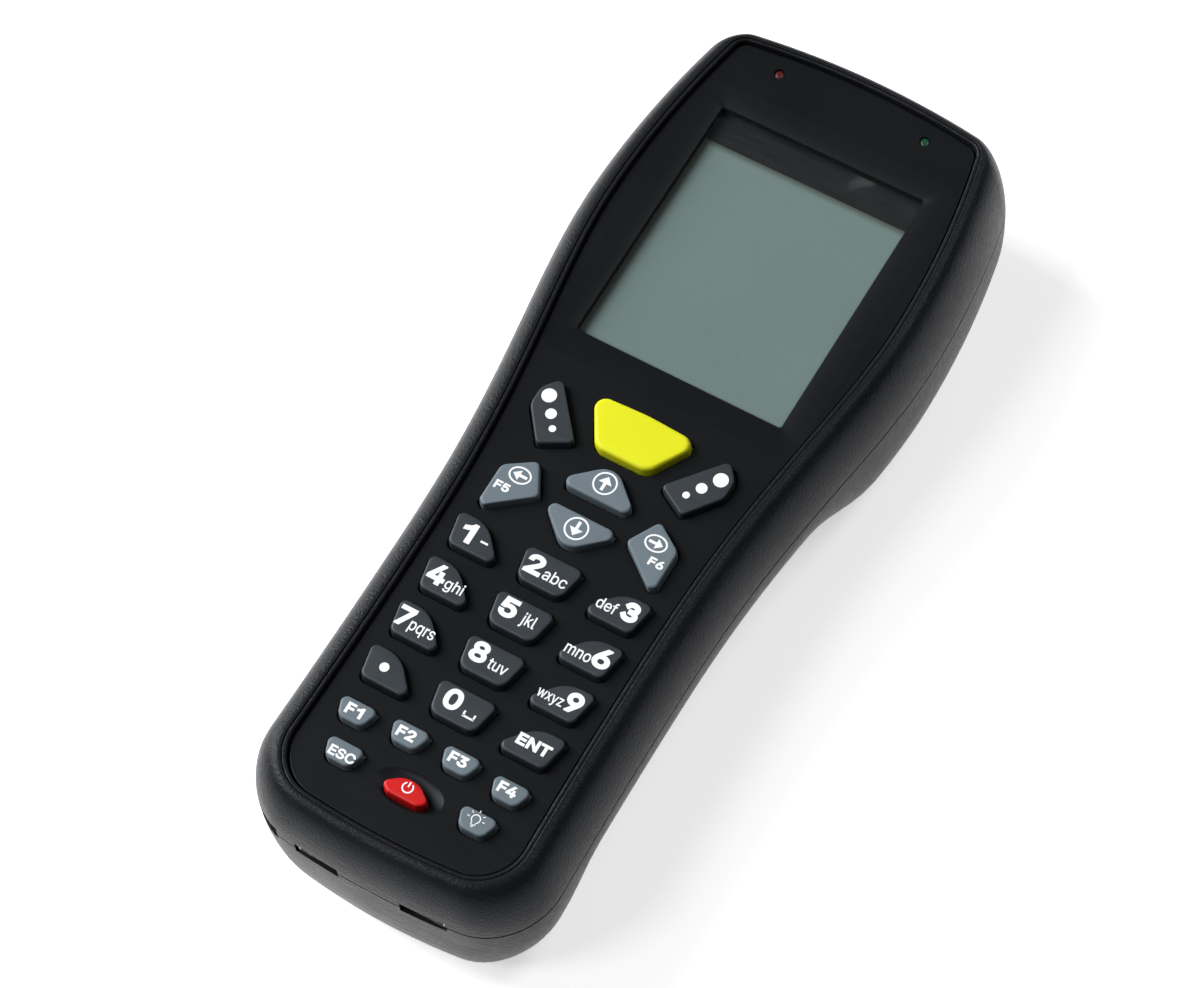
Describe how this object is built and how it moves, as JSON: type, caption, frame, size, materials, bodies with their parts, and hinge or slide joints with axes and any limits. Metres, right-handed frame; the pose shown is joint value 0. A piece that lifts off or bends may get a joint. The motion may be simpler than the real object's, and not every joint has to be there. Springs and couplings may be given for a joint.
{
  "type": "portable barcode data terminal",
  "caption": "Handheld data terminal: rounded two-part shell, framed display, numeric and function keypad, barcode window at the head, sockets at the heel, hinged battery lid.",
  "frame": {"origin": "centre of the bounding box, on the plane the terminal lies on", "axes": "+Y from the heel to the barcode window at the head, +Z out of the keypad and display, +X to the right of someone reading the keys"},
  "size_m": [0.0662, 0.1654, 0.0355],
  "materials": {
    "shell_black": "satin, fine texture",
    "plate_black": "smooth satin",
    "seal_rubber": "matte",
    "window_clear": "gloss",
    "lcd_cell": "satin",
    "light_guide": "satin",
    "frame_black": "matte",
    "lamp_red": "gloss",
    "lamp_green": "gloss",
    "board_green": "satin",
    "bare_steel": "brushed",
    "contact_gold": "satin",
    "scan_pane": "gloss",
    "engine_case": "satin",
    "lens_glass": "gloss",
    "key_yellow": "satin",
    "key_red": "satin",
    "key_pale": "satin",
    "key_dark": "satin"
  },
  "bodies": {
    "terminal": {"front_housing": "shell_black", "rear_housing": "shell_black", "faceplate": "plate_black", "housing_seal": "seal_rubber", "display_window": "window_clear", "display_glass": "lcd_cell", "display_frame": "frame_black", "backlight_panel": "light_guide", "led_red": "lamp_red", "led_green": "lamp_green", "keypad_mat": "seal_rubber", "main_board": "board_green", "board_chips": "frame_black", "coin_cell": "bare_steel", "beeper": "frame_black", "socket_left": "bare_steel", "socket_right": "bare_steel", "scan_window": "scan_pane", "scan_engine": "engine_case", "scan_lens": "lens_glass", "engine_bracket": "bare_steel", "battery_pack": "frame_black", "battery_contacts": "contact_gold", "lid_pin": "bare_steel", "housing_screws": "bare_steel", "board_screws": "bare_steel", "bracket_screws": "bare_steel", "strap_post": "bare_steel", "key_domes": "bare_steel"},
    "lid": {"battery_lid": "shell_black"},
    "key_scan": {"key_scan": "key_yellow"},
    "key_dotted_left": {"key_dotted_left": "key_dark"},
    "key_dotted_right": {"key_dotted_right": "key_dark"},
    "key_f5": {"key_f5": "key_pale"},
    "key_up": {"key_up": "key_pale"},
    "key_down": {"key_down": "key_pale"},
    "key_f6": {"key_f6": "key_pale"},
    "key_1": {"key_1": "key_dark"},
    "key_2": {"key_2": "key_dark"},
    "key_3": {"key_3": "key_dark"},
    "key_4": {"key_4": "key_dark"},
    "key_5": {"key_5": "key_dark"},
    "key_6": {"key_6": "key_dark"},
    "key_7": {"key_7": "key_dark"},
    "key_8": {"key_8": "key_dark"},
    "key_9": {"key_9": "key_dark"},
    "key_point": {"key_point": "key_dark"},
    "key_0": {"key_0": "key_dark"},
    "key_enter": {"key_enter": "key_dark"},
    "key_f1": {"key_f1": "key_pale"},
    "key_f2": {"key_f2": "key_pale"},
    "key_f3": {"key_f3": "key_pale"},
    "key_f4": {"key_f4": "key_pale"},
    "key_escape": {"key_escape": "key_pale"},
    "key_power": {"key_power": "key_red"},
    "key_lamp": {"key_lamp": "key_pale"}
  },
  "joints": [
    {"name": "lid_hinge", "type": "hinge", "parent": "terminal", "child": "lid", "pos_m": [0, -0.052, 0.0079], "axis": [-1, 0, 0], "range_deg": [0, 95]},
    {"name": "scan_press", "type": "slide", "parent": "terminal", "child": "key_scan", "axis": [0, 0, -1], "range_m": [0, 0.0008], "stiffness_N_per_m": 1200, "springref_m": -0.0003},
    {"name": "dotted_left_press", "type": "slide", "parent": "terminal", "child": "key_dotted_left", "axis": [0, 0, -1], "range_m": [0, 0.0008], "stiffness_N_per_m": 1200, "springref_m": -0.0003},
    {"name": "dotted_right_press", "type": "slide", "parent": "terminal", "child": "key_dotted_right", "axis": [0, 0, -1], "range_m": [0, 0.0008], "stiffness_N_per_m": 1200, "springref_m": -0.0003},
    {"name": "f5_press", "type": "slide", "parent": "terminal", "child": "key_f5", "axis": [0, 0, -1], "range_m": [0, 0.0008], "stiffness_N_per_m": 1200, "springref_m": -0.0003},
    {"name": "up_press", "type": "slide", "parent": "terminal", "child": "key_up", "axis": [0, 0, -1], "range_m": [0, 0.0008], "stiffness_N_per_m": 1200, "springref_m": -0.0003},
    {"name": "down_press", "type": "slide", "parent": "terminal", "child": "key_down", "axis": [0, 0, -1], "range_m": [0, 0.0008], "stiffness_N_per_m": 1200, "springref_m": -0.0003},
    {"name": "f6_press", "type": "slide", "parent": "terminal", "child": "key_f6", "axis": [0, 0, -1], "range_m": [0, 0.0008], "stiffness_N_per_m": 1200, "springref_m": -0.0003},
    {"name": "1_press", "type": "slide", "parent": "terminal", "child": "key_1", "axis": [0, 0, -1], "range_m": [0, 0.0008], "stiffness_N_per_m": 1200, "springref_m": -0.0003},
    {"name": "2_press", "type": "slide", "parent": "terminal", "child": "key_2", "axis": [0, 0, -1], "range_m": [0, 0.0008], "stiffness_N_per_m": 1200, "springref_m": -0.0003},
    {"name": "3_press", "type": "slide", "parent": "terminal", "child": "key_3", "axis": [0, 0, -1], "range_m": [0, 0.0008], "stiffness_N_per_m": 1200, "springref_m": -0.0003},
    {"name": "4_press", "type": "slide", "parent": "terminal", "child": "key_4", "axis": [0, 0, -1], "range_m": [0, 0.0008], "stiffness_N_per_m": 1200, "springref_m": -0.0003},
    {"name": "5_press", "type": "slide", "parent": "terminal", "child": "key_5", "axis": [0, 0, -1], "range_m": [0, 0.0008], "stiffness_N_per_m": 1200, "springref_m": -0.0003},
    {"name": "6_press", "type": "slide", "parent": "terminal", "child": "key_6", "axis": [0, 0, -1], "range_m": [0, 0.0008], "stiffness_N_per_m": 1200, "springref_m": -0.0003},
    {"name": "7_press", "type": "slide", "parent": "terminal", "child": "key_7", "axis": [0, 0, -1], "range_m": [0, 0.0008], "stiffness_N_per_m": 1200, "springref_m": -0.0003},
    {"name": "8_press", "type": "slide", "parent": "terminal", "child": "key_8", "axis": [0, 0, -1], "range_m": [0, 0.0008], "stiffness_N_per_m": 1200, "springref_m": -0.0003},
    {"name": "9_press", "type": "slide", "parent": "terminal", "child": "key_9", "axis": [0, 0, -1], "range_m": [0, 0.0008], "stiffness_N_per_m": 1200, "springref_m": -0.0003},
    {"name": "point_press", "type": "slide", "parent": "terminal", "child": "key_point", "axis": [0, 0, -1], "range_m": [0, 0.0008], "stiffness_N_per_m": 1200, "springref_m": -0.0003},
    {"name": "0_press", "type": "slide", "parent": "terminal", "child": "key_0", "axis": [0, 0, -1], "range_m": [0, 0.0008], "stiffness_N_per_m": 1200, "springref_m": -0.0003},
    {"name": "enter_press", "type": "slide", "parent": "terminal", "child": "key_enter", "axis": [0, 0, -1], "range_m": [0, 0.0008], "stiffness_N_per_m": 1200, "springref_m": -0.0003},
    {"name": "f1_press", "type": "slide", "parent": "terminal", "child": "key_f1", "axis": [0, 0, -1], "range_m": [0, 0.0008], "stiffness_N_per_m": 1200, "springref_m": -0.0003},
    {"name": "f2_press", "type": "slide", "parent": "terminal", "child": "key_f2", "axis": [0, 0, -1], "range_m": [0, 0.0008], "stiffness_N_per_m": 1200, "springref_m": -0.0003},
    {"name": "f3_press", "type": "slide", "parent": "terminal", "child": "key_f3", "axis": [0, 0, -1], "range_m": [0, 0.0008], "stiffness_N_per_m": 1200, "springref_m": -0.0003},
    {"name": "f4_press", "type": "slide", "parent": "terminal", "child": "key_f4", "axis": [0, 0, -1], "range_m": [0, 0.0008], "stiffness_N_per_m": 1200, "springref_m": -0.0003},
    {"name": "escape_press", "type": "slide", "parent": "terminal", "child": "key_escape", "axis": [0, 0, -1], "range_m": [0, 0.0008], "stiffness_N_per_m": 1200, "springref_m": -0.0003},
    {"name": "power_press", "type": "slide", "parent": "terminal", "child": "key_power", "axis": [0, 0, -1], "range_m": [0, 0.0008], "stiffness_N_per_m": 1200, "springref_m": -0.0003},
    {"name": "lamp_press", "type": "slide", "parent": "terminal", "child": "key_lamp", "axis": [0, 0, -1], "range_m": [0, 0.0008], "stiffness_N_per_m": 1200, "springref_m": -0.0003}
  ]
}
